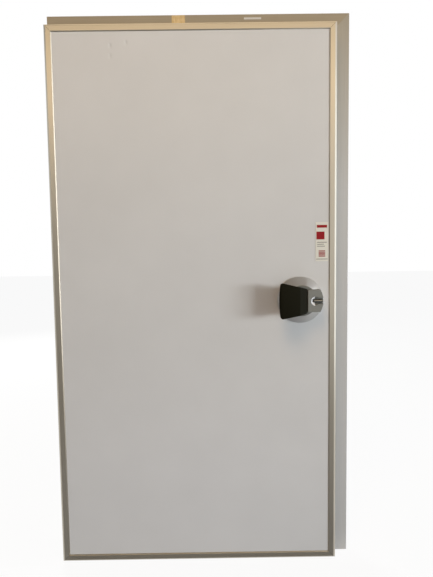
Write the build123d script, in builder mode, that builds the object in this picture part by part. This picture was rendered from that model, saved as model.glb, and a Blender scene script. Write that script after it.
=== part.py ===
"""Pivot door for a cold room: an insulated leaf on top and bottom pivots, in front of its frame.

Frame of reference: +X runs from the pivot to the lock side, +Y into the room, +Z up.
The origin is at floor level on the pivot line, on the wall side of the hinge jamb.
Sizes are in millimetres.
"""
import math
import os

from build123d import *

# Doorway and wall
clear_width = 1000.0
clear_height = 2020.0
wall_thickness = 80.0

# Frame: a hollow face profile on the wall, a lining through the wall and a trim on the room side
face_depth = 22.0
face_wall = 2.5
face_shown_lock = 61.0
face_shown_top = 57.0
face_shown_hinge = 6.0
face_edge_radius = 1.5
lining_thickness = 14.0
trim_width = 45.0
trim_thickness = 3.0

# Leaf: how far it laps over the doorway, its thickness and its gaps
lap_hinge = 40.0
lap_lock = 36.0
lap_top = 37.0
floor_gap = 8.0
seal_gap = 10.0
leaf_thickness = 56.0
skin_thickness = 0.7

# Three small dents by the hinge-side top corner, where the foam behind the skin is crushed
dent_places = ((242.0, 79.0), (300.0, 68.5), (241.0, 116.0))
dent_radius = 62.0
dent_depth = 1.6

# Edge profile round the leaf
profile_front = 29.0
profile_back = 45.0
profile_bevel = 8.0
profile_lip = 3.0
profile_proud = 3.5
profile_wall = 2.5
profile_back_wall = 3.0
panel_edge_clearance = 0.5

# Seals
gasket_width = 16.0
gasket_wall = 2.0
gasket_inset = 4.0
seal_clearance = 0.3
sweep_thickness = 5.0
sweep_floor_clearance = 1.5

# Pivots
pivot_inset = 14.0
pivot_from_leaf_back = 18.0
pivot_pin_radius = 6.0
pivot_running_clearance = 0.05
pivot_bush_radius = 9.0
pivot_bush_length = 40.0
pivot_bush_clearance = 0.3
pivot_pin_engagement = 30.0
top_arm_thickness = 4.0
top_arm_gap = 5.0
bottom_plate_thickness = 3.0
pivot_arm_width = 28.0
pivot_arm_tail = 14.0
pivot_arm_slot_clearance = 0.2
pivot_arm_nose = 11.0

# Handle: where its centre stands, and its round base
handle_height = 1034.0
handle_from_lock_edge = 138.0
base_radius = 88.0
base_rim = 5.0
base_top_radius = 57.0
base_depth = 42.0
base_edge_radius = 3.0

# Handle: pull lever on a vertical pin
lever_pin_offset = 0.0
lever_pin_depth = 58.0
lever_pin_radius = 5.0
lever_pin_clearance = 0.05
lever_post_width = 14.0
lever_post_height = 44.0
lever_post_wall = 3.0
lever_knuckle_radius = 11.0
lever_nose_radius = 15.0
lever_cavity_radius = 12.0
lever_side_clearance = 2.0
grip_reach = 91.0
grip_root_height = 90.0
grip_end_rise = 70.0
grip_end_drop = 64.0
grip_end_bulge = 6.0
grip_corner_radius = 9.0
grip_front = 90.0
grip_thickness = 13.0
grip_shoulder = 15.0

# Handle: lock housing beside the lever
housing_gap = 2.5
housing_height = 83.0
housing_end_radius = 77.0
housing_depth = 63.0
housing_end_depth = 55.0
housing_edge_radius = 2.0
lock_recess_depth = 18.5
lock_dish_radius = 18.0
lock_dish_floor_radius = 6.0
lock_slot_height = 20.0
lock_slot_flare = 8.0
lock_from_housing_end = 30.0
lock_barrel_radius = 6.5
lock_barrel_setback = 5.0
lock_barrel_length = 30.0
lock_barrel_bore = 24.0
lock_plug_radius = 4.5
lock_plug_clearance = 0.05
lock_plug_end_gap = 0.3
lock_plug_proud = 1.0
keyway_length = 6.0
keyway_width = 1.8
keyway_depth = 4.0

# Release on the room side
release_plate_radius = 48.0
release_plate_thickness = 7.0
release_stem_radius = 12.0
release_knob_radius = 29.0
release_knob_thickness = 14.0
release_stem_length = 9.0
release_edge_radius = 4.0

# Stickers
sticker_thickness = 0.4
label_width = 48.0
label_height = 147.0
label_from_profile = 2.5
label_above_handle = 145.0
tape_width = 50.0
tape_from_pivot = 451.0
tape_below_leaf_top = 20.0
tag_width = 65.0
tag_height = 7.0
tag_from_pivot = 724.0
tag_below_head_top = 12.0

# Places that follow from the sizes above
doorway_left = lap_hinge - pivot_inset
doorway_right = doorway_left + clear_width
leaf_left = -pivot_inset
leaf_right = doorway_right + lap_lock
leaf_width = leaf_right - leaf_left
leaf_bottom = floor_gap
leaf_top = clear_height + lap_top
leaf_height = leaf_top - leaf_bottom
lining_left = doorway_left - lining_thickness
lining_right = doorway_right + lining_thickness
lining_top = clear_height + lining_thickness
face_left = leaf_left - face_shown_hinge
face_right = leaf_right + face_shown_lock
face_top = leaf_top + face_shown_top
face_front = -face_depth
leaf_back = face_front - seal_gap
leaf_front = leaf_back - leaf_thickness
panel_front = leaf_front + profile_proud
panel_back = leaf_back - profile_back_wall
pivot_y = leaf_back - pivot_from_leaf_back
handle_x = leaf_right - handle_from_lock_edge
bevel_inner = profile_bevel + profile_wall * math.sqrt(2)
skin_inset = bevel_inner - profile_proud + panel_edge_clearance
core_inset = profile_wall + panel_edge_clearance
core_chamfer = skin_inset - skin_thickness - core_inset


def save(piece, name):
    """Labels a finished piece and writes it as its own file."""
    piece.part.label = name
    export_step(piece.part, f"parts/{name}.step")


os.makedirs("parts", exist_ok=True)


# Frame face profiles: hollow boxes, mitred where head and lock jamb meet
def hollow_bar(x_low, x_high, z_low, z_high, along):
    """A hollow bar in the frame's face, open at its two ends along X or Z."""
    size = Vector(x_high - x_low, face_depth, z_high - z_low)
    centre = Vector((x_low + x_high) / 2, face_front / 2, (z_low + z_high) / 2)
    bore_size = Vector(size.X, face_depth - 2 * face_wall, size.Z)
    if along is Axis.Z:
        bore_size.X -= 2 * face_wall
    else:
        bore_size.Z -= 2 * face_wall
    with BuildPart() as bar:
        with Locations(centre):
            Box(size.X, size.Y, size.Z)
            front_edges = bar.faces().sort_by(Axis.Y)[0].edges().filter_by(along)
            fillet(front_edges, face_edge_radius)
            Box(bore_size.X, bore_size.Y, bore_size.Z, mode=Mode.SUBTRACT)
    return bar.part


mitre_plane = Plane((face_right, 0, face_top), z_dir=(-1, 0, 1))
arm_left = -pivot_arm_width / 2
arm_slot_width = pivot_arm_width + 2 * pivot_arm_slot_clearance
arm_bottom = leaf_top + top_arm_gap

with BuildPart() as frame_head:
    add(hollow_bar(face_left, face_right, lining_top, face_top, Axis.X))
    split(bisect_by=mitre_plane, keep=Keep.TOP)
    with Locations((0, face_front, arm_bottom + top_arm_thickness / 2)):
        Box(
            arm_slot_width,
            2 * face_wall,
            top_arm_thickness + 2 * pivot_arm_slot_clearance,
            mode=Mode.SUBTRACT,
        )
save(frame_head, "frame_head")

with BuildPart() as frame_lock_jamb:
    add(hollow_bar(lining_right, face_right, 0, face_top, Axis.Z))
    split(bisect_by=mitre_plane, keep=Keep.BOTTOM)
save(frame_lock_jamb, "frame_lock_jamb")

with BuildPart() as frame_hinge_jamb:
    add(hollow_bar(face_left, lining_left, 0, lining_top, Axis.Z))
save(frame_hinge_jamb, "frame_hinge_jamb")


# Lining through the wall and trim on the room side, both in plain lengths
def slab(name, x_low, x_high, y_low, y_high, z_low, z_high):
    """A plain length of lining or trim between two corners."""
    with BuildPart() as piece:
        with Locations(((x_low + x_high) / 2, (y_low + y_high) / 2, (z_low + z_high) / 2)):
            Box(x_high - x_low, y_high - y_low, z_high - z_low)
    save(piece, name)


trim_left = doorway_left - trim_width
trim_right = doorway_right + trim_width
trim_top = clear_height + trim_width
trim_back = wall_thickness + trim_thickness

slab("lining_hinge_side", lining_left, doorway_left, face_front, wall_thickness, 0, clear_height)
slab("lining_lock_side", doorway_right, lining_right, face_front, wall_thickness, 0, clear_height)
slab("lining_head", lining_left, lining_right, face_front, wall_thickness, clear_height, lining_top)
slab("trim_hinge_side", trim_left, doorway_left, wall_thickness, trim_back, 0, clear_height)
slab("trim_lock_side", doorway_right, trim_right, wall_thickness, trim_back, 0, clear_height)
slab("trim_head", trim_left, trim_right, wall_thickness, trim_back, clear_height, trim_top)

# Top pivot: an arm let into the head, and the pin that hangs from it
arm_nose_y = pivot_y - pivot_arm_nose
arm_tail_y = face_front + pivot_arm_tail

with BuildPart() as top_pivot_arm:
    with BuildSketch(Plane.XY.offset(arm_bottom)):
        with BuildLine():
            Polyline(
                (arm_left, pivot_y),
                (arm_left, arm_tail_y),
                (-arm_left, arm_tail_y),
                (-arm_left, pivot_y),
            )
            ThreePointArc((-arm_left, pivot_y), (0, arm_nose_y), (arm_left, pivot_y))
        make_face()
        with Locations((0, pivot_y)):
            Circle(pivot_pin_radius, mode=Mode.SUBTRACT)
    extrude(amount=top_arm_thickness)
save(top_pivot_arm, "top_pivot_arm")

with BuildPart() as top_pivot_pin:
    with BuildSketch(Plane((0, pivot_y, leaf_top - pivot_pin_engagement))):
        Circle(pivot_pin_radius)
    extrude(amount=pivot_pin_engagement + top_arm_gap + top_arm_thickness)
save(top_pivot_pin, "top_pivot_pin")

# Bottom pivot: a floor plate with its pin standing up into the leaf
with BuildPart() as bottom_pivot_plate:
    with BuildSketch():
        with BuildLine():
            Polyline(
                (arm_left, pivot_y),
                (arm_left, face_front),
                (-arm_left, face_front),
                (-arm_left, pivot_y),
            )
            ThreePointArc((-arm_left, pivot_y), (0, arm_nose_y), (arm_left, pivot_y))
        make_face()
        with Locations((0, pivot_y)):
            Circle(pivot_pin_radius, mode=Mode.SUBTRACT)
    extrude(amount=bottom_plate_thickness)
save(bottom_pivot_plate, "bottom_pivot_plate")

with BuildPart() as bottom_pivot_pin:
    with BuildSketch(Plane((0, pivot_y, 0))):
        Circle(pivot_pin_radius)
    extrude(amount=leaf_bottom + pivot_pin_engagement)
save(bottom_pivot_pin, "bottom_pivot_pin")


# Leaf edge: one channel profile on all four sides, mitred at the corners
def edge_profile(length):
    """The channel, standing on its start, with its outer edge on Z and the leaf towards +X."""
    with BuildPart() as channel:
        with BuildSketch():
            with BuildLine():
                Polyline(
                    (0, profile_bevel),
                    (profile_bevel, 0),
                    (profile_front - profile_lip, 0),
                    (profile_front, profile_proud),
                    (bevel_inner - profile_proud, profile_proud),
                    (profile_wall, bevel_inner - profile_wall),
                    (profile_wall, leaf_thickness - profile_back_wall),
                    (profile_back, leaf_thickness - profile_back_wall),
                    (profile_back, leaf_thickness),
                    (0, leaf_thickness),
                    close=True,
                )
            make_face()
        extrude(amount=length)
        split(bisect_by=Plane((0, 0, 0), z_dir=(-1, 0, 1)), keep=Keep.TOP)
        split(bisect_by=Plane((0, 0, length), z_dir=(-1, 0, -1)), keep=Keep.TOP)
    return channel.part


def bush_hole(top, depth):
    """Cuts the round seat of a pivot bush, from the height top down by depth."""
    with Locations((0, pivot_y, top - depth / 2)):
        Cylinder(pivot_bush_radius + pivot_bush_clearance, depth, mode=Mode.SUBTRACT)


with BuildPart() as leaf_hinge_stile:
    with Locations((leaf_left, leaf_front, leaf_bottom)):
        add(edge_profile(leaf_height))
save(leaf_hinge_stile, "leaf_hinge_stile")

with BuildPart() as leaf_top_rail:
    with Locations(Location((leaf_left, leaf_front, leaf_top), (0, 90, 0))):
        add(edge_profile(leaf_width))
    bush_hole(leaf_top, profile_wall)
save(leaf_top_rail, "leaf_top_rail")

with BuildPart() as leaf_lock_stile:
    with Locations(Location((leaf_right, leaf_front, leaf_top), (0, 180, 0))):
        add(edge_profile(leaf_height))
save(leaf_lock_stile, "leaf_lock_stile")

with BuildPart() as leaf_bottom_rail:
    with Locations(Location((leaf_right, leaf_front, leaf_bottom), (0, -90, 0))):
        add(edge_profile(leaf_width))
    bush_hole(leaf_bottom + profile_wall, profile_wall)
save(leaf_bottom_rail, "leaf_bottom_rail")


# Leaf panel: foam core between two steel skins, held in the channel
def panel_layer(y_low, y_high, inset):
    """One layer of the panel, set in from the leaf's edges on all four sides."""
    with Locations(
        (
            (leaf_left + leaf_right) / 2,
            (y_low + y_high) / 2,
            (leaf_bottom + leaf_top) / 2,
        )
    ):
        Box(leaf_width - 2 * inset, y_high - y_low, leaf_height - 2 * inset)


with BuildPart() as leaf_outer_skin:
    panel_layer(panel_front, panel_front + skin_thickness, skin_inset)
save(leaf_outer_skin, "leaf_outer_skin")

with BuildPart() as leaf_inner_skin:
    panel_layer(panel_back - skin_thickness, panel_back, core_inset)
save(leaf_inner_skin, "leaf_inner_skin")

bush_top_depth = pivot_bush_length + pivot_bush_clearance

with BuildPart() as leaf_core:
    panel_layer(panel_front + skin_thickness, panel_back - skin_thickness, core_inset)
    chamfer(leaf_core.faces().sort_by(Axis.Y)[0].edges(), core_chamfer)
    bush_hole(leaf_top, bush_top_depth)
    bush_hole(leaf_bottom + bush_top_depth, bush_top_depth)
    for from_hinge_edge, below_top in dent_places:
        dent_centre_y = panel_front + skin_thickness + dent_depth - dent_radius
        with Locations((leaf_left + from_hinge_edge, dent_centre_y, leaf_top - below_top)):
            Sphere(dent_radius, mode=Mode.SUBTRACT)
save(leaf_core, "leaf_core")


# Pivot bushes, pressed into the leaf's top and bottom edges
def pivot_bush(name, mouth_z, inward):
    """A blind bush whose mouth is flush with the leaf's edge; inward is +1 up or -1 down."""
    with BuildPart() as bush:
        with BuildSketch(Plane((0, pivot_y, mouth_z))):
            Circle(pivot_bush_radius)
        extrude(amount=inward * pivot_bush_length)
        with BuildSketch(Plane((0, pivot_y, mouth_z))):
            Circle(pivot_pin_radius + pivot_running_clearance)
        extrude(
            amount=inward * (pivot_pin_engagement + pivot_bush_clearance),
            mode=Mode.SUBTRACT,
        )
    save(bush, name)


pivot_bush("top_pivot_bush", leaf_top, -1)
pivot_bush("bottom_pivot_bush", leaf_bottom, 1)


# Seals on the leaf's back: hollow bulbs that lie against the frame's face
def gasket_section():
    """The bulb's section, its flat base on X and its round back towards +Y."""
    depth = seal_gap - seal_clearance
    shoulder_depth = depth / 3
    hollow_height = depth - 2 * gasket_wall
    with BuildSketch() as section:
        with BuildLine():
            Polyline((0, shoulder_depth), (0, 0), (gasket_width, 0), (gasket_width, shoulder_depth))
            ThreePointArc((gasket_width, shoulder_depth), (gasket_width / 2, depth), (0, shoulder_depth))
        make_face()
        with Locations((gasket_width / 2, depth / 2)):
            Ellipse(gasket_width / 2 - 2 * gasket_wall, hollow_height / 2, mode=Mode.SUBTRACT)
    return section.sketch


hinge_gasket_x = gasket_inset
lock_gasket_x = doorway_right + gasket_inset + gasket_width
top_gasket_z = clear_height + gasket_inset
side_gasket_height = top_gasket_z - leaf_bottom

with BuildPart() as gasket_hinge_side:
    with BuildSketch(Plane((hinge_gasket_x, leaf_back, leaf_bottom))):
        add(gasket_section())
    extrude(amount=side_gasket_height)
save(gasket_hinge_side, "gasket_hinge_side")

with BuildPart() as gasket_lock_side:
    with BuildSketch(Plane((lock_gasket_x - gasket_width, leaf_back, leaf_bottom))):
        add(gasket_section())
    extrude(amount=side_gasket_height)
save(gasket_lock_side, "gasket_lock_side")

with BuildPart() as gasket_top:
    top_plane = Plane((hinge_gasket_x, leaf_back, top_gasket_z), x_dir=(0, 0, 1), z_dir=(-1, 0, 0))
    with BuildSketch(top_plane):
        add(gasket_section())
    extrude(amount=-(lock_gasket_x - hinge_gasket_x))
save(gasket_top, "gasket_top")

sweep_left = pivot_bush_radius + pivot_arm_width / 2
with BuildPart() as bottom_sweep:
    sweep_centre = (
        (sweep_left + leaf_right - profile_bevel) / 2,
        pivot_y,
        (leaf_bottom + sweep_floor_clearance) / 2,
    )
    with Locations(sweep_centre):
        Box(
            leaf_right - profile_bevel - sweep_left,
            sweep_thickness,
            leaf_bottom - sweep_floor_clearance,
        )
save(bottom_sweep, "bottom_sweep")

# Handle planes: seen from the front, and in plan with depth off the panel as local Y
handle_front_plane = Plane((handle_x, panel_front, handle_height), x_dir=(1, 0, 0), z_dir=(0, -1, 0))
handle_plan_plane = Plane((handle_x, panel_front, handle_height), x_dir=(1, 0, 0), z_dir=(0, 0, -1))
handle_axis = Axis((handle_x, panel_front, handle_height), (0, -1, 0))
lever_pin_place = (lever_pin_offset, lever_pin_depth)

# Handle base: a short rim, a straight cone up to a flat top, and the post for the lever's pin
with BuildPart() as handle_base:
    with BuildSketch(handle_plan_plane):
        with BuildLine():
            Polyline(
                (0, 0),
                (base_radius, 0),
                (base_radius, base_rim),
                (base_top_radius, base_depth),
                (0, base_depth),
                close=True,
            )
        make_face()
    revolve(axis=handle_axis)
    round_edges = handle_base.edges().filter_by(GeomType.CIRCLE).sort_by(Axis.Y)[:2]
    fillet(round_edges, base_edge_radius)
    with BuildSketch(handle_plan_plane):
        post_radius = lever_pin_radius + lever_post_wall
        with Locations((lever_pin_offset, (base_depth + lever_pin_depth) / 2)):
            Rectangle(lever_post_width, lever_pin_depth - base_depth)
        with Locations(lever_pin_place):
            Circle(post_radius)
            Circle(lever_pin_radius + lever_pin_clearance, mode=Mode.SUBTRACT)
    extrude(amount=lever_post_height / 2, both=True)
save(handle_base, "handle_base")

lever_lug_inner = lever_post_height / 2 + lever_side_clearance
with BuildPart() as lever_pin:
    with BuildSketch(handle_plan_plane):
        with Locations(lever_pin_place):
            Circle(lever_pin_radius)
    extrude(amount=grip_root_height / 2 - lever_post_wall, both=True)
save(lever_pin, "lever_pin")

# Pull lever: a moulded paddle, widening to its free end, with two lugs on the pin
grip_left = -grip_reach
grip_right = lever_pin_offset + lever_nose_radius
grip_back = grip_front - grip_thickness
nose_sweep = 60.0

with BuildPart() as handle_grip:
    with BuildSketch(handle_plan_plane):
        with BuildLine():
            nose = CenterArc(lever_pin_place, lever_nose_radius, 0, nose_sweep)
            shoulder = Line(nose @ 1, (-grip_shoulder, grip_front - 3))
            front = ThreePointArc(
                shoulder @ 1,
                ((grip_left - grip_shoulder) / 2, grip_front),
                (grip_left + grip_thickness / 2, grip_front - 1),
            )
            end = ThreePointArc(
                front @ 1,
                (grip_left, grip_front - grip_thickness / 2),
                (grip_left + grip_thickness / 2, grip_back),
            )
            back = Line(end @ 1, (-grip_shoulder, grip_back - 4))
            root = Line(back @ 1, (lever_pin_offset - lever_knuckle_radius, lever_pin_depth))
            Line(root @ 1, nose @ 0)
        make_face()
    extrude(amount=grip_end_rise, both=True)
    with BuildSketch(handle_front_plane):
        with BuildLine():
            upper = Line((grip_right, grip_root_height / 2), (grip_left + grip_end_bulge, grip_end_rise))
            bulge = ThreePointArc(upper @ 1, (grip_left, 0), (grip_left + grip_end_bulge, -grip_end_drop))
            lower = Line(bulge @ 1, (grip_right, -grip_root_height / 2))
            Line(lower @ 1, upper @ 0)
        make_face()
        end_corners = vertices().sort_by(Axis.X)[:2]
        fillet(end_corners, grip_corner_radius)
    extrude(amount=2 * grip_front, mode=Mode.INTERSECT)
    with BuildSketch(handle_plan_plane):
        with Locations(lever_pin_place):
            Circle(lever_knuckle_radius)
    extrude(amount=grip_root_height / 2 - lever_post_wall, both=True)
    with BuildSketch(handle_plan_plane):
        with Locations(lever_pin_place):
            Circle(lever_cavity_radius)
        with Locations((lever_pin_offset, lever_pin_depth / 2)):
            Rectangle(2 * lever_cavity_radius, lever_pin_depth)
    extrude(amount=lever_lug_inner, both=True, mode=Mode.SUBTRACT)
    with BuildSketch(handle_plan_plane):
        with Locations(lever_pin_place):
            Circle(lever_pin_radius + lever_pin_clearance)
    extrude(amount=grip_root_height / 2 - lever_post_wall + 1, both=True, mode=Mode.SUBTRACT)
save(handle_grip, "handle_grip")

# Lock housing: stands on the cone beside the lever, with a dished recess for the lock
housing_left = grip_right + housing_gap
lock_x = housing_end_radius - lock_from_housing_end
face_slope = (housing_depth - housing_end_depth) / (housing_end_radius - housing_left)
lock_face_depth = housing_depth - face_slope * (lock_x - lock_dish_radius - housing_left)
recess_depth = housing_depth - lock_recess_depth
recess_floor = handle_front_plane.offset(recess_depth)

with BuildPart() as lock_housing:
    with BuildSketch(handle_plan_plane):
        with BuildLine():
            Polyline(
                (housing_left, 0),
                (housing_left, housing_depth),
                (housing_end_radius, housing_end_depth),
                (housing_end_radius, 0),
                close=True,
            )
        make_face()
    extrude(amount=housing_height / 2, both=True)
    with BuildSketch(handle_front_plane):
        Circle(housing_end_radius)
    extrude(amount=2 * housing_depth, mode=Mode.INTERSECT)
    fillet(lock_housing.faces().sort_by(Axis.Y)[0].edges(), housing_edge_radius)
    add(handle_base.part, mode=Mode.SUBTRACT)
    with BuildSketch(recess_floor):
        with Locations((lock_x, 0)):
            Rectangle(housing_end_radius, lock_slot_height, align=(Align.MIN, Align.CENTER))
    extrude(amount=2 * lock_recess_depth, taper=-lock_slot_flare, mode=Mode.SUBTRACT)
    with BuildSketch(handle_plan_plane):
        with BuildLine():
            Polyline(
                (lock_x, recess_depth),
                (lock_x + lock_dish_floor_radius, recess_depth),
                (lock_x + lock_dish_radius, lock_face_depth),
                (lock_x + lock_dish_radius, 2 * housing_depth),
                (lock_x, 2 * housing_depth),
                close=True,
            )
        make_face()
    revolve(axis=Axis((handle_x + lock_x, panel_front, handle_height), (0, -1, 0)), mode=Mode.SUBTRACT)
save(lock_housing, "lock_housing")

# Lock: the barrel lies in the recess with its key end towards the lock edge, and the plug turns in it
barrel_start = Plane(
    (handle_x + lock_x - lock_barrel_setback, panel_front - recess_depth - lock_barrel_radius, handle_height),
    x_dir=(0, 0, 1),
    z_dir=(1, 0, 0),
)
barrel_end = barrel_start.offset(lock_barrel_length)
plug_end = barrel_end.offset(lock_plug_proud)

with BuildPart() as lock_barrel:
    with BuildSketch(barrel_start):
        Circle(lock_barrel_radius)
    extrude(amount=lock_barrel_length)
    with BuildSketch(barrel_end):
        Circle(lock_plug_radius + lock_plug_clearance)
    extrude(amount=-lock_barrel_bore, mode=Mode.SUBTRACT)
save(lock_barrel, "lock_barrel")

with BuildPart() as lock_plug:
    with BuildSketch(plug_end):
        Circle(lock_plug_radius)
    extrude(amount=-(lock_barrel_bore + lock_plug_proud - lock_plug_end_gap))
    with BuildSketch(plug_end):
        SlotOverall(keyway_length, keyway_width)
    extrude(amount=-keyway_depth, mode=Mode.SUBTRACT)
save(lock_plug, "lock_plug")

# Release on the room side: a round plate and the push knob on its stem
release_axis = Axis((handle_x, panel_back, handle_height), (0, 1, 0))
release_plane = Plane((handle_x, panel_back, handle_height), x_dir=(1, 0, 0), z_dir=(0, 0, 1))
knob_start = release_plate_thickness + release_stem_length

with BuildPart() as release_plate:
    with BuildSketch(Plane(release_plane.origin, x_dir=(1, 0, 0), z_dir=(0, 1, 0))):
        Circle(release_plate_radius)
    extrude(amount=release_plate_thickness)
    fillet(release_plate.edges().sort_by(Axis.Y)[-1], release_edge_radius)
save(release_plate, "release_plate")

with BuildPart() as release_knob:
    with BuildSketch(release_plane):
        with BuildLine():
            Polyline(
                (0, release_plate_thickness),
                (release_stem_radius, release_plate_thickness),
                (release_stem_radius, knob_start),
                (release_knob_radius, knob_start),
                (release_knob_radius, knob_start + release_knob_thickness),
                (0, knob_start + release_knob_thickness),
                close=True,
            )
        make_face()
    revolve(axis=release_axis)
    knob_rims = release_knob.edges().filter_by(GeomType.CIRCLE).group_by(SortBy.RADIUS)[-1]
    fillet(knob_rims, release_edge_radius)
save(release_knob, "release_knob")


# Stickers: the label by the lock edge, the strip of tape and the tag on the head
def sticker(name, x_low, width, z_low, height, face_y):
    """A thin sticker whose back lies on a face that looks towards -Y."""
    with BuildPart() as piece:
        with BuildSketch(Plane((x_low, face_y, z_low), x_dir=(1, 0, 0), z_dir=(0, -1, 0))):
            Rectangle(width, height, align=(Align.MIN, Align.MIN))
        extrude(amount=sticker_thickness)
    save(piece, name)


label_right = leaf_right - profile_front - label_from_profile
tape_bottom = leaf_top - tape_below_leaf_top
tag_bottom = face_top - tag_below_head_top - tag_height
label_bottom = handle_height + label_above_handle
sticker("label", label_right - label_width, label_width, label_bottom, label_height, panel_front)
sticker("head_tape", tape_from_pivot, tape_width, tape_bottom, face_top - face_edge_radius - tape_bottom, face_front)
sticker("head_tag", tag_from_pivot, tag_width, tag_bottom, tag_height, face_front)
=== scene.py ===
import math

import bpy
import numpy as np
from mathutils import Matrix, Vector


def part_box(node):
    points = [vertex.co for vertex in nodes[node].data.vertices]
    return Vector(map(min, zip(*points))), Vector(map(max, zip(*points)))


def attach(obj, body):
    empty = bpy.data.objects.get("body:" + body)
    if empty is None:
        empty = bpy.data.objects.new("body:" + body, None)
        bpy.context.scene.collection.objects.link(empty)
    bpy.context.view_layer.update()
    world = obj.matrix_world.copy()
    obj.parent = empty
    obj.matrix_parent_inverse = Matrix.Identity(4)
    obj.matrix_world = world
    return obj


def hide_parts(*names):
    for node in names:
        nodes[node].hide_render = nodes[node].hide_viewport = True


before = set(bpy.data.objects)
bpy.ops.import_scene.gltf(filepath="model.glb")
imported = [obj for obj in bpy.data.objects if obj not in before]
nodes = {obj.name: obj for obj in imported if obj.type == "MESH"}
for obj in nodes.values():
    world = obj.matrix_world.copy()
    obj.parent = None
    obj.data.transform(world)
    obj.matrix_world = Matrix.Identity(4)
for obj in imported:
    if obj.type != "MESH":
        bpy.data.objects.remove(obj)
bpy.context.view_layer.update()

# Frame face: hollow aluminium bars screwed to the wall's face, mitred at the lock-side corner.
# Matt anodised, with the faint grain that the die leaves along each bar. Towards the top the uprights'
# grey is tinted a darker ochre, a painted warm reflection of light from overhead, and the head is painted
# a darker ochre as painted shade and warm reflection.
JAMB_GREY = (0.425, 0.427, 0.422)
JAMB_TOP_WARM_REFLECTION = (0.75, 0.67, 0.53)
REFLECTION_START, REFLECTION_END = 1.45, 2.11
HEAD_OCHRE_PAINTED_SHADE = (0.31, 0.26, 0.182)
FRAME_ROUGH, FRAME_METAL = 0.6, 0.2
FRAME_EDGE = 0.0006
GRAIN_ACROSS, GRAIN_ALONG = 900.0, 4.0
GRAIN_DARK, GRAIN_LIGHT = 0.93, 1.05
ALONG_X, ALONG_Z = 0, 2
WELD_REACH = 0.00001
SHARP_ANGLE = math.radians(35.0)


def finish(name, colour, roughness, metallic=0.0, specular=0.5):
    """A plain surface finish: one colour, one roughness, metal or not."""
    made = bpy.data.materials.new(name)
    made.use_nodes = True
    shader = made.node_tree.nodes["Principled BSDF"]
    shader.inputs["Base Color"].default_value = (*colour, 1.0)
    shader.inputs["Roughness"].default_value = roughness
    shader.inputs["Metallic"].default_value = metallic
    shader.inputs["Specular IOR Level"].default_value = specular
    return made


def add_noise(made, stretch, detail=3.0):
    """Noise on the piece's own coordinates, stretched on each axis; returns its value socket."""
    tree = made.node_tree
    place = tree.nodes.new("ShaderNodeTexCoord")
    mapping = tree.nodes.new("ShaderNodeMapping")
    mapping.inputs["Scale"].default_value = stretch
    noise = tree.nodes.new("ShaderNodeTexNoise")
    noise.inputs["Scale"].default_value = 1.0
    noise.inputs["Detail"].default_value = detail
    tree.links.new(place.outputs["Object"], mapping.inputs["Vector"])
    tree.links.new(mapping.outputs["Vector"], noise.inputs["Vector"])
    return noise.outputs["Fac"]


def shade(colour, factor):
    """The same colour, darker or lighter by a factor."""
    return [factor * channel for channel in colour]


def vary_colour(made, value, dark, light, low=0.3, high=0.7):
    """Base colour runs from dark to light as the value goes from low to high."""
    tree = made.node_tree
    ramp = tree.nodes.new("ShaderNodeValToRGB")
    ramp.color_ramp.elements[0].position = low
    ramp.color_ramp.elements[0].color = (*dark, 1.0)
    ramp.color_ramp.elements[1].position = high
    ramp.color_ramp.elements[1].color = (*light, 1.0)
    tree.links.new(value, ramp.inputs["Fac"])
    tree.links.new(ramp.outputs["Color"], tree.nodes["Principled BSDF"].inputs["Base Color"])


def drawn_aluminium(name, colour, roughness, metallic, along):
    """Anodised aluminium with grain drawn out along X or Z."""
    made = finish(name, colour, roughness, metallic)
    stretch = [GRAIN_ACROSS, GRAIN_ACROSS, GRAIN_ACROSS]
    stretch[along] = GRAIN_ALONG
    grain = add_noise(made, stretch)
    vary_colour(made, grain, shade(colour, GRAIN_DARK), shade(colour, GRAIN_LIGHT))
    return made


def add_run(made, axis, start, end):
    """A value from 0 to 1 as the piece's own X, Y or Z goes from start to end; returns its socket."""
    tree = made.node_tree
    place = tree.nodes.new("ShaderNodeTexCoord")
    parts = tree.nodes.new("ShaderNodeSeparateXYZ")
    scale = tree.nodes.new("ShaderNodeMapRange")
    scale.inputs["From Min"].default_value = start
    scale.inputs["From Max"].default_value = end
    tree.links.new(place.outputs["Object"], parts.inputs["Vector"])
    tree.links.new(parts.outputs[axis], scale.inputs["Value"])
    return scale.outputs["Result"]


def tint(made, value, colour):
    """Multiplies the base colour by a tint, more so as the value goes from 0 to 1."""
    tree = made.node_tree
    base = tree.nodes["Principled BSDF"].inputs["Base Color"]
    mix = tree.nodes.new("ShaderNodeMixRGB")
    mix.blend_type = "MULTIPLY"
    mix.inputs["Color2"].default_value = (*colour, 1.0)
    tree.links.new(value, mix.inputs["Fac"])
    tree.links.new(base.links[0].from_socket, mix.inputs["Color1"])
    tree.links.new(mix.outputs["Color"], base)


def dress(made, *names):
    """Puts one finish on the slots of these CAD pieces."""
    for name in names:
        mesh = nodes[name].data
        mesh.materials.clear()
        mesh.materials.append(made)


def soften(width, *names):
    """Breaks the sharp edges of these CAD pieces by a small bevel of the given width."""
    for name in names:
        weld = nodes[name].modifiers.new("weld", "WELD")
        weld.merge_threshold = WELD_REACH
        bevel = nodes[name].modifiers.new("edges", "BEVEL")
        bevel.width = width
        bevel.segments = 2
        bevel.limit_method = "ANGLE"
        bevel.angle_limit = SHARP_ANGLE


frame_upright = drawn_aluminium("frame_upright", JAMB_GREY, FRAME_ROUGH, FRAME_METAL, ALONG_Z)
# Painted warm reflection: the uprights' grey is tinted towards a darker ochre over their upper part.
tint(frame_upright, add_run(frame_upright, "Z", REFLECTION_START, REFLECTION_END), JAMB_TOP_WARM_REFLECTION)
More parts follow.
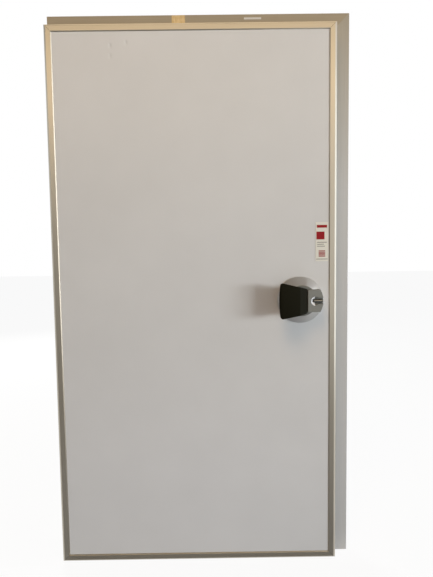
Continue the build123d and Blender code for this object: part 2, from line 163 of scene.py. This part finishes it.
# Painted shade and warm reflection: the head gets a darker ochre than the uprights.
frame_cross = drawn_aluminium("frame_cross", HEAD_OCHRE_PAINTED_SHADE, FRAME_ROUGH, FRAME_METAL, ALONG_X)
dress(frame_upright, "frame_hinge_jamb", "frame_lock_jamb")
dress(frame_cross, "frame_head")
soften(FRAME_EDGE, "frame_hinge_jamb", "frame_lock_jamb", "frame_head")

# Outer side walls of the two uprights, in the same extrusion and finish as their front walls.
# Each one closes its bar between the front and the back wall, from foot to top.
SIDE_WALL = 0.0025
SIDE_LAP = 0.0018
SIDE_SUNK = 0.00002


def sheet_piece(name, points, made, body):
    """A mesh over one or more grids of points, with one quad between each four neighbours."""
    index = np.arange(points.size // 3).reshape(-1, *points.shape[-3:-1])
    corners = (index[:, :-1, :-1], index[:, :-1, 1:], index[:, 1:, 1:], index[:, 1:, :-1])
    quads = np.stack(corners, axis=-1)
    mesh = bpy.data.meshes.new(name)
    mesh.from_pydata(points.reshape(-1, 3).tolist(), [], quads.reshape(-1, 4).tolist())
    mesh.materials.append(made)
    mesh.shade_smooth()
    piece = bpy.data.objects.new(name, mesh)
    bpy.context.scene.collection.objects.link(piece)
    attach(piece, body)
    return piece


def thicken(piece, wall):
    """Gives a sheet the thickness of its wall, to the inner side of its faces."""
    solid = piece.modifiers.new("thickness", "SOLIDIFY")
    solid.thickness = wall
    solid.offset = -1.0


def jamb_side(low, high, x, outward):
    """A flat wall: a plane at one X, between the front and back walls and from foot to top."""
    depth = [low[1] + SIDE_LAP, high[1] - SIDE_LAP][::outward]
    height = [low[2] + SIDE_WALL, high[2] - SIDE_WALL]
    y, z = np.meshgrid(depth, height, indexing="xy")
    return np.stack((np.full_like(y, x), y, z), axis=-1)


lock_low, lock_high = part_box("frame_lock_jamb")
hinge_low, hinge_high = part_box("frame_hinge_jamb")
lock_side = jamb_side(lock_low, lock_high, lock_high[0] - SIDE_SUNK, 1)
hinge_side = jamb_side(hinge_low, hinge_high, hinge_low[0] + SIDE_SUNK, -1)
for name, points in (("lock_jamb_side", lock_side), ("hinge_jamb_side", hinge_side)):
    thicken(sheet_piece(name, points, frame_upright, "frame"), SIDE_WALL)

# Lining and trim: off-white rigid plastic lengths through the wall, covered on the room side
# by plain anodised strips that are screwed on.
LINING_WHITE = (0.62, 0.61, 0.58)
TRIM_GREY = (0.5, 0.5, 0.48)
TRIM_ROUGH, TRIM_METAL = 0.5, 0.4
lining_white = finish("lining_white", LINING_WHITE, roughness=0.5)
trim_upright = drawn_aluminium("trim_upright", TRIM_GREY, TRIM_ROUGH, TRIM_METAL, ALONG_Z)
trim_cross = drawn_aluminium("trim_cross", TRIM_GREY, TRIM_ROUGH, TRIM_METAL, ALONG_X)
dress(lining_white, "lining_head", "lining_hinge_side", "lining_lock_side")
dress(trim_upright, "trim_hinge_side", "trim_lock_side")
dress(trim_cross, "trim_head")

# Pivots: a zinc-plated steel arm screwed to the head and a plate on the floor, each with a pin.
# The pins turn in nylon bushes pressed into the leaf's top and bottom rails.
ZINC_GREY = (0.55, 0.55, 0.53)
NYLON_CREAM = (0.6, 0.59, 0.54)
zinc = finish("zinc_plate", ZINC_GREY, roughness=0.35, metallic=0.9)
bush_nylon = finish("bush_nylon", NYLON_CREAM, roughness=0.5)
dress(zinc, "top_pivot_arm", "top_pivot_pin", "bottom_pivot_plate", "bottom_pivot_pin", "lever_pin")
dress(bush_nylon, "top_pivot_bush", "bottom_pivot_bush")

# Leaf edge: one extruded channel on four sides, bevelled inside and out and mitred at the corners.
# Satin anodised aluminium with a warm tone; a fine dark line shows where the mitres meet.
EDGE_CHAMPAGNE = (0.46, 0.42, 0.345)
EDGE_ROUGH, EDGE_METAL = 0.34, 0.95
LEAF_EDGE = 0.0004
MITRE_START, MITRE_END, MITRE_HALF = 0.0085, 0.0255, 0.0003
MITRE_PROUD = 0.00003
MITRE_DARK = (0.05, 0.045, 0.035)
edge_upright = drawn_aluminium("edge_upright", EDGE_CHAMPAGNE, EDGE_ROUGH, EDGE_METAL, ALONG_Z)
edge_cross = drawn_aluminium("edge_cross", EDGE_CHAMPAGNE, EDGE_ROUGH, EDGE_METAL, ALONG_X)
dress(edge_upright, "leaf_hinge_stile", "leaf_lock_stile")
dress(edge_cross, "leaf_top_rail", "leaf_bottom_rail")
soften(LEAF_EDGE, "leaf_hinge_stile", "leaf_lock_stile", "leaf_top_rail", "leaf_bottom_rail")
edge_low = np.minimum(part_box("leaf_hinge_stile")[0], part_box("leaf_bottom_rail")[0])
edge_high = np.maximum(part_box("leaf_lock_stile")[1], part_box("leaf_top_rail")[1])


def mitre_lines():
    """Four thin strips at 45 degrees, each from outer to inner bevel across a corner of the face."""
    run, side = np.meshgrid([MITRE_START, MITRE_END], [-MITRE_HALF, MITRE_HALF], indexing="ij")
    to_right = np.array([1.0, -1.0, -1.0, 1.0])[:, None, None]
    to_top = np.array([1.0, 1.0, -1.0, -1.0])[:, None, None]
    corner_x = np.where(to_right > 0, edge_low[0], edge_high[0])
    corner_z = np.where(to_top > 0, edge_low[2], edge_high[2])
    x = corner_x + to_right * (run + side)
    z = corner_z + to_top * (run - side)
    return np.stack((x, np.full_like(x, edge_low[1] - MITRE_PROUD), z), axis=-1)


mitre_dark = finish("mitre_dark", MITRE_DARK, roughness=0.8)
sheet_piece("edge_mitres", mitre_lines(), mitre_dark, "leaf")

# Leaf skins: coil-coated steel sheets over foam. The outer one is almost flat, with slow waves
# from the foam and three small dents near the top on the hinge side.
SKIN_WHITE = (0.532, 0.532, 0.522)
INNER_WHITE = (0.62, 0.61, 0.59)
FOAM_YELLOW = (0.7, 0.6, 0.38)
SKIN_ROUGH = 0.42
SKIN_SHEET = 0.0007
SKIN_STEP = 0.02
WAVE_HEIGHT = 0.00025
WAVE_SLANT, WAVE_COUNTER = (9.0, 2.1), (4.3, 1.7)
DENTS = np.array([[0.228, 1.978], [0.286, 1.9885], [0.227, 1.941]])
DENT_SPREAD = np.array([0.0035, 0.0055])
DENT_DEPTH = 0.0012
DENT_REACH = (0.015, 0.018)
DENT_STEP = 0.001
CLOUD_STRETCH = (5.0, 5.0, 5.0)
CLOUD_DARK, CLOUD_LIGHT = 0.98, 1.02


def grid_lines(low, high, centres, reach):
    """Grid lines from low to high, wide apart, with fine ones around each centre."""
    wide = np.linspace(low, high, int((high - low) / SKIN_STEP) + 1)
    close = (centres[:, None] + np.arange(-reach, reach + DENT_STEP / 2, DENT_STEP)).ravel()
    return np.unique(np.round(np.concatenate((wide, close)), 5))


def skin_surface(low, high):
    """A flat sheet set back by slow waves, one sine times another, and by a bell shape at each dent."""
    across = grid_lines(low[0], high[0], DENTS[:, 0], DENT_REACH[0])
    upward = grid_lines(low[2], high[2], DENTS[:, 1], DENT_REACH[1])
    z, x = np.meshgrid(upward, across, indexing="ij")
    slant = np.sin(WAVE_SLANT[0] * x + WAVE_SLANT[1] * z)
    counter = np.sin(WAVE_COUNTER[0] * z - WAVE_COUNTER[1] * x)
    waves = WAVE_HEIGHT * (1.0 + slant * counter)
    beside = (x[..., None] - DENTS[:, 0]) / DENT_SPREAD[0]
    above = (z[..., None] - DENTS[:, 1]) / DENT_SPREAD[1]
    dents = DENT_DEPTH * np.exp(-(beside**2 + above**2) / 2).sum(axis=-1)
    return np.stack((x, low[1] + waves + dents, z), axis=-1)


skin_white = finish("skin_white", SKIN_WHITE, SKIN_ROUGH)
cloud = add_noise(skin_white, CLOUD_STRETCH, detail=2.0)
vary_colour(skin_white, cloud, shade(SKIN_WHITE, CLOUD_DARK), shade(SKIN_WHITE, CLOUD_LIGHT))
skin_points = skin_surface(*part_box("leaf_outer_skin"))
skin = sheet_piece("outer_skin_sheet", skin_points, skin_white, "leaf")
thicken(skin, SKIN_SHEET)
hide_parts("leaf_outer_skin")
dress(finish("inner_white", INNER_WHITE, SKIN_ROUGH), "leaf_inner_skin")
dress(finish("foam_core", FOAM_YELLOW, roughness=0.9), "leaf_core")

# Seals: hollow black rubber bulbs pressed into grooves in the leaf's back on three sides,
# and a rubber blade under the bottom rail that brushes close to the floor.
SEAL_BLACK = (0.02, 0.02, 0.02)
seal_black = finish("seal_black", SEAL_BLACK, roughness=0.7)
dress(seal_black, "gasket_top", "gasket_hinge_side", "gasket_lock_side", "bottom_sweep")

# Handle base: a cone-shaped casting in silver lacquer, fixed through the leaf.
# Its flat top and the post on it are left in the grey of the housing that stands there.
BASE_SILVER = (0.5, 0.495, 0.485)
HOUSING_GREY = (0.147, 0.147, 0.13)
BASE_TOP_Y = -0.1260
BASE_TOP_BLEND = 0.0005
base_silver = finish("base_silver", BASE_SILVER, roughness=0.3, metallic=0.75)
flat_top = add_run(base_silver, "Y", BASE_TOP_Y - BASE_TOP_BLEND, BASE_TOP_Y + BASE_TOP_BLEND)
vary_colour(base_silver, flat_top, HOUSING_GREY, BASE_SILVER)
dress(base_silver, "handle_base")

# Lock housing: a mid-grey casting beside the lever, with the lock barrel in its recess.
# A light liner over the left half of the turned dish round the lock is a painted highlight, where the
# light from the lock side falls on the dish's wall.
HOUSING_EDGE = 0.0006
LOCK_STEEL = (0.2, 0.195, 0.175)
DISH_PAINTED_HIGHLIGHT = (0.75, 0.75, 0.75)
DISH_CENTRE = (0.971, 1.034)
DISH_FLOOR = (0.006, -0.1290)
DISH_RIM = (0.018, -0.14595)
DISH_PROUD = 0.00015
DISH_TURN = np.radians(np.linspace(100.0, 262.0, 55))
DISH_SHARE = np.linspace(0.25, 0.98, 9)
dress(finish("housing_grey", HOUSING_GREY, roughness=0.5), "lock_housing", "release_plate")
soften(HOUSING_EDGE, "lock_housing")
lock_steel = finish("lock_steel", LOCK_STEEL, roughness=0.25, metallic=0.9)
dress(lock_steel, "lock_barrel", "lock_plug")


def dish_liner():
    """Part of a cone: radius and depth go straight from floor to rim, turned about the dish's axis."""
    turn, share = np.meshgrid(DISH_TURN, DISH_SHARE, indexing="ij")
    radius = DISH_FLOOR[0] + share * (DISH_RIM[0] - DISH_FLOOR[0]) - DISH_PROUD
    depth = DISH_FLOOR[1] + share * (DISH_RIM[1] - DISH_FLOOR[1]) - DISH_PROUD
    x = DISH_CENTRE[0] + radius * np.cos(turn)
    z = DISH_CENTRE[1] + radius * np.sin(turn)
    return np.stack((x, depth, z), axis=-1)


# Painted highlight: the liner covers only the dish's left wall, the side that faces the light.
dish_painted_highlight = finish("dish_painted_highlight", DISH_PAINTED_HIGHLIGHT, roughness=0.4, metallic=0.2)
sheet_piece("lock_dish", dish_liner(), dish_painted_highlight, "leaf")

# Pull lever: one moulding in black glass-filled nylon with a fine grain and rounded edges.
# It turns on a steel pin between the post's lugs.
GRIP_BLACK = (0.008, 0.0075, 0.004)
GRIP_EDGE = 0.0013
GRIP_GRAIN = (1500.0, 1500.0, 1500.0)
GRIP_GRAIN_HEIGHT = 0.00005


def add_bump(made, value, height):
    """Fine relief of the given height in metres, where the value is high."""
    tree = made.node_tree
    bump = tree.nodes.new("ShaderNodeBump")
    bump.inputs["Distance"].default_value = height
    bump.inputs["Strength"].default_value = 1.0
    tree.links.new(value, bump.inputs["Height"])
    tree.links.new(bump.outputs["Normal"], tree.nodes["Principled BSDF"].inputs["Normal"])


grip_black = finish("grip_black", GRIP_BLACK, roughness=0.6, specular=0.04)
add_bump(grip_black, add_noise(grip_black, GRIP_GRAIN), GRIP_GRAIN_HEIGHT)
dress(grip_black, "handle_grip")
soften(GRIP_EDGE, "handle_grip")

# Release on the room side: a green plastic mushroom knob over a grey plate.
# Three plain pan-head screws hold the plate to the leaf.
RELEASE_GREEN = (0.02, 0.22, 0.08)
SCREW_RADIUS, SCREW_HEIGHT, SCREW_RING = 0.0038, 0.0016, 0.038
SCREW_FALL = 0.6
SCREW_ANGLES = np.radians([90.0, 210.0, 330.0])
dress(finish("release_green", RELEASE_GREEN, roughness=0.4), "release_knob")


def screw_heads(low, high):
    """Three domes on a ring about a plate's middle; height falls with the radius to the fourth power."""
    outward, around = np.linspace(0.0, 1.0, 9), np.radians(np.linspace(0.0, 360.0, 33))
    share, turn = np.meshgrid(outward, around, indexing="ij")
    rise = SCREW_HEIGHT * (1.0 - SCREW_FALL * share**4)
    rise[-1] = 0.0
    radius = SCREW_RADIUS * share
    head = np.stack((radius * np.cos(turn), rise, radius * np.sin(turn)), axis=-1)
    middle = (np.array(low) + np.array(high)) / 2
    ring = (np.cos(SCREW_ANGLES) * SCREW_RING, np.zeros(3), np.sin(SCREW_ANGLES) * SCREW_RING)
    places = np.stack(ring, axis=-1) + (middle[0], high[1], middle[2])
    return places[:, None, None, :] + head[None]


screw_points = screw_heads(*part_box("release_plate"))
sheet_piece("release_screws", screw_points, zinc, "leaf")

# Label: a cream paper sticker on the skin beside the lock stile, above the handle.
# Plain bars and stripes are printed on it in red and grey.
LABEL_CREAM = (0.61, 0.6, 0.53)
LABEL_RED = (0.24, 0.008, 0.012)
LABEL_GREY = (0.09, 0.085, 0.075)
PRINT_HEIGHT = 0.00005
STRIPES, STRIPE_START, STRIPE_STEP, STRIPE_WIDTH = 5, 0.12, 0.034, 0.022
dress(finish("label_cream", LABEL_CREAM, roughness=0.5), "label")
print_red = finish("print_red", LABEL_RED, roughness=0.5, specular=0.2)
print_grey = finish("print_grey", LABEL_GREY, roughness=0.5, specular=0.2)
label_low, label_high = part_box("label")
label_size = np.array(label_high) - np.array(label_low)


def printed_bar(name, left, right, bottom, top, made):
    """A flat patch on the label, its edges given as shares of the label's width and height."""
    across = label_low[0] + np.array([left, right]) * label_size[0]
    upward = label_low[2] + np.array([bottom, top]) * label_size[2]
    z, x = np.meshgrid(upward, across, indexing="ij")
    points = np.stack((x, np.full_like(x, label_low[1] - PRINT_HEIGHT), z), axis=-1)
    sheet_piece(name, points, made, "leaf")


printed_bar("label_bar_top", 0.10, 0.90, 0.86, 0.93, print_red)
printed_bar("label_block", 0.06, 0.70, 0.56, 0.76, print_red)
printed_bar("label_line_1", 0.12, 0.88, 0.48, 0.495, print_grey)
printed_bar("label_line_2", 0.12, 0.66, 0.43, 0.445, print_grey)
printed_bar("label_line_3", 0.12, 0.74, 0.38, 0.395, print_grey)
for stripe in range(STRIPES):
    low = STRIPE_START + STRIPE_STEP * stripe
    printed_bar(f"label_stripe_{stripe + 1}", 0.24, 0.76, low, low + STRIPE_WIDTH, print_red)
printed_bar("label_foot", 0.05, 0.95, 0.05, 0.065, print_grey)

# Tape and tag left on the frame's head: a patch of yellow packing tape, with painted sheen and shade in
# paler and darker patches where it wrinkles, and a short strip of white paper stuck on beside it.
TAPE_WRINKLE_SHADE, TAPE_YELLOW, TAPE_WRINKLE_SHEEN = (0.46, 0.31, 0.12), (0.52, 0.36, 0.15), (0.62, 0.47, 0.25)
TAPE_WRINKLES = (160.0, 160.0, 60.0)
TAG_WHITE = (0.55, 0.53, 0.49)
tape_yellow = finish("tape_yellow", TAPE_YELLOW, roughness=0.35)
# Painted sheen and shade: noise turns the tape paler and darker in patches for the light on its wrinkles.
vary_colour(tape_yellow, add_noise(tape_yellow, TAPE_WRINKLES), TAPE_WRINKLE_SHADE, TAPE_WRINKLE_SHEEN)
dress(tape_yellow, "head_tape")
dress(finish("tag_white", TAG_WHITE, roughness=0.5), "head_tag")

# Floor and surround: a pale floor and a white background, both plain white to the camera
# and in reflections, while the light they give the object stays soft and dim.
FLOOR_HALF = 30.0
FLOOR_PALE = (0.9, 0.9, 0.9)
FLOOR_GLOW = 0.93
WHITE = (1.0, 1.0, 1.0, 1.0)
SKY_COLOUR = (0.86, 0.93, 1.0, 1.0)
SKY_STRENGTH = 0.20


def direct_ray(tree):
    """1 on a ray from the camera, or in a reflection or through glass, else 0; returns its socket."""
    path = tree.nodes.new("ShaderNodeLightPath")
    value = path.outputs["Is Camera Ray"]
    for kind in ("Is Glossy Ray", "Is Transmission Ray"):
        either = tree.nodes.new("ShaderNodeMath")
        either.operation = "MAXIMUM"
        tree.links.new(value, either.inputs[0])
        tree.links.new(path.outputs[kind], either.inputs[1])
        value = either.outputs["Value"]
    return value


def stage_quad(name, corners, made):
    """One flat quad of the stage, from its four corners in order."""
    mesh = bpy.data.meshes.new(name)
    mesh.from_pydata(corners, [], [(0, 1, 2, 3)])
    mesh.materials.append(made)
    quad = bpy.data.objects.new(name, mesh)
    bpy.context.scene.collection.objects.link(quad)
    return quad


def level_corners(x_low, x_high, y_low, y_high, z):
    """Corners of a quad that lies level at one height."""
    return [(x_low, y_low, z), (x_high, y_low, z), (x_high, y_high, z), (x_low, y_high, z)]


floor_white = finish("floor_white", FLOOR_PALE, roughness=0.9)
tree = floor_white.node_tree
glow = tree.nodes.new("ShaderNodeEmission")
glow.inputs["Color"].default_value = WHITE
glow.inputs["Strength"].default_value = 1.0
glow_share = tree.nodes.new("ShaderNodeMath")
glow_share.operation = "MULTIPLY"
glow_share.inputs[1].default_value = FLOOR_GLOW
floor_mix = tree.nodes.new("ShaderNodeMixShader")
tree.links.new(direct_ray(tree), glow_share.inputs[0])
tree.links.new(glow_share.outputs["Value"], floor_mix.inputs["Fac"])
tree.links.new(tree.nodes["Principled BSDF"].outputs["BSDF"], floor_mix.inputs[1])
tree.links.new(glow.outputs["Emission"], floor_mix.inputs[2])
tree.links.new(floor_mix.outputs["Shader"], tree.nodes["Material Output"].inputs["Surface"])
stage_quad("floor", level_corners(-FLOOR_HALF, FLOOR_HALF, -FLOOR_HALF, FLOOR_HALF, 0.0), floor_white)

world = bpy.data.worlds.new("studio")
bpy.context.scene.world = world
world.use_nodes = True
sky = world.node_tree
soft = sky.nodes["Background"]
soft.inputs["Color"].default_value = SKY_COLOUR
soft.inputs["Strength"].default_value = SKY_STRENGTH
white = sky.nodes.new("ShaderNodeBackground")
white.inputs["Color"].default_value = WHITE
white.inputs["Strength"].default_value = 1.0
choose = sky.nodes.new("ShaderNodeMixShader")
sky.links.new(direct_ray(sky), choose.inputs["Fac"])
sky.links.new(soft.outputs["Background"], choose.inputs[1])
sky.links.new(white.outputs["Background"], choose.inputs[2])
sky.links.new(choose.outputs["Shader"], sky.nodes["World Output"].inputs["Surface"])

# Lamps: a wide key lamp from the lock side and a warm one overhead, with weaker ones low in front,
# behind, and beside the leaf's edge, where the lock stile's bevel mirrors it as a bright line.


def area_lamp(name, place, aim, size, power, colour, mirrored=False):
    """A soft lamp turned to face the aim point; it shows in metal only where mirrored is set."""
    lamp = bpy.data.lights.new(name, "AREA")
    lamp.shape = "RECTANGLE"
    lamp.size, lamp.size_y = size
    lamp.energy = power
    lamp.color = colour
    holder = bpy.data.objects.new(name, lamp)
    turn = (Vector(aim) - Vector(place)).to_track_quat("-Z", "Y").to_matrix().to_4x4()
    holder.matrix_world = Matrix.Translation(place) @ turn
    holder.visible_glossy = mirrored
    holder.visible_camera = False
    bpy.context.scene.collection.objects.link(holder)


area_lamp(
    "key", place=(12.3, -8.4, 1.6), aim=(0.5, -0.1, 1.0), size=(7.0, 2.4),
    power=1640.0, colour=(0.9, 0.96, 1.0),
)
area_lamp(
    "top", place=(-0.5, -3.4, 5.2), aim=(0.4, -0.1, 1.1), size=(2.2, 2.2),
    power=122.0, colour=(1.0, 0.68, 0.4),
)
area_lamp(
    "low", place=(0.5, -1.1, 0.15), aim=(0.5, -0.1, 0.15), size=(1.2, 0.2),
    power=1.05, colour=(0.94, 0.88, 1.0),
)
area_lamp(
    "back", place=(-2.0, 5.0, 3.0), aim=(0.5, 0.1, 1.0), size=(2.5, 2.5),
    power=200.0, colour=(1.0, 0.98, 0.95),
)
area_lamp(
    "edge", place=(4.2, 0.75, 1.5), aim=(1.06, -0.1, 1.5), size=(1.5, 3.0),
    power=22.0, colour=(0.74, 0.86, 1.0), mirrored=True,
)

# Cards: flat boards out of the camera's sight that the metal mirrors, two dark ones on the floor
# and at the hinge side, a lit window at the lock side, and a warm ceiling with darker boards behind.
CARD_DARK = (0.05, 0.05, 0.045)
CARD_DIM = (0.38, 0.43, 0.5)
CARD_UNLIT = (0.05, 0.05, 0.05)
CARD_ROUGH = 0.9
WINDOW_WHITE = (0.95, 0.98, 1.0)
CEILING_WARM = (1.0, 0.79, 0.54)
CEILING_Z = 3.5
CARD_LIFT = 0.001


def studio_card(name, corners, made, scattered=True):
    """A card that the camera doesn't see and that casts no shadow; unscattered, it is only mirrored."""
    card = stage_quad(name, corners, made)
    card.visible_camera = False
    card.visible_shadow = False
    card.visible_diffuse = scattered


def lit_card(name, colour, strength):
    """A card finish that glows in one colour at the given strength."""
    made = finish(name, CARD_UNLIT, CARD_ROUGH)
    shader = made.node_tree.nodes["Principled BSDF"]
    shader.inputs["Emission Color"].default_value = (*colour, 1.0)
    shader.inputs["Emission Strength"].default_value = strength
    return made


def upright_corners(x, y_low, y_high, z_high):
    """Corners of a quad that stands on the floor at one X."""
    return [(x, y_low, 0.0), (x, y_high, 0.0), (x, y_high, z_high), (x, y_low, z_high)]


card_black = finish("card_black", CARD_DARK, CARD_ROUGH)
card_dim = finish("card_dim", CARD_DIM, CARD_ROUGH)
card_window = lit_card("card_window", WINDOW_WHITE, strength=5.5)
floor_corners = [(x, y, CARD_LIFT) for x, y in ((-3.0, -5.0), (2.9, -5.0), (1.3, -0.095), (-3.0, -0.095))]
studio_card("floor_card", floor_corners, card_dim)
studio_card("side_card", upright_corners(-1.9, -6.5, -0.3, 2.2), card_black)
studio_card("window", upright_corners(6.0, -3.2, -1.0, 4.6), card_window, scattered=False)
overhead = (
    ("ceiling", (-3.5, 4.5, -6.0, -2.8), lit_card("card_warm", CEILING_WARM, strength=2.45)),
    ("valance", (-0.6, 2.3, -2.8, 0.3), lit_card("card_glow", CEILING_WARM, strength=0.15)),
    ("valance_back", (-0.6, 2.3, 0.3, 1.5), lit_card("card_back", CEILING_WARM, strength=1.6)),
    ("valance_hinge_side", (-3.5, -0.6, -2.8, 1.0), card_black),
)
for name, reach, made in overhead:
    studio_card(name, level_corners(*reach, CEILING_Z), made, scattered=False)

# Camera: before the door at chest height, tilted a little down and slightly rolled.
# Its place, angles and lens were solved from the photo together with the leaf's proportions.
CAMERA_PLACE = Vector((0.5993, -1.8535, 1.2045))
CAMERA_YAW, CAMERA_PITCH, CAMERA_ROLL = (math.radians(a) for a in (0.225, -3.989, -0.776))
SENSOR = 36.0
FOCAL_PIXELS, PHOTO_PIXELS = 467.0, 577.0
ahead = Vector((
    math.sin(CAMERA_YAW) * math.cos(CAMERA_PITCH),
    math.cos(CAMERA_YAW) * math.cos(CAMERA_PITCH),
    math.sin(CAMERA_PITCH),
))
level = Vector((math.cos(CAMERA_YAW), -math.sin(CAMERA_YAW), 0.0))
upward = level.cross(ahead)
right = level * math.cos(CAMERA_ROLL) + upward * math.sin(CAMERA_ROLL)
top = upward * math.cos(CAMERA_ROLL) - level * math.sin(CAMERA_ROLL)
camera = bpy.data.objects.new("camera", bpy.data.cameras.new("camera"))
camera.data.sensor_width = SENSOR
camera.data.lens = SENSOR * FOCAL_PIXELS / PHOTO_PIXELS
turned = Matrix((right, top, -ahead)).transposed().to_4x4()
camera.matrix_world = Matrix.Translation(CAMERA_PLACE) @ turned
bpy.context.scene.collection.objects.link(camera)
bpy.context.scene.camera = camera
bpy.context.scene.view_settings.view_transform = "Standard"
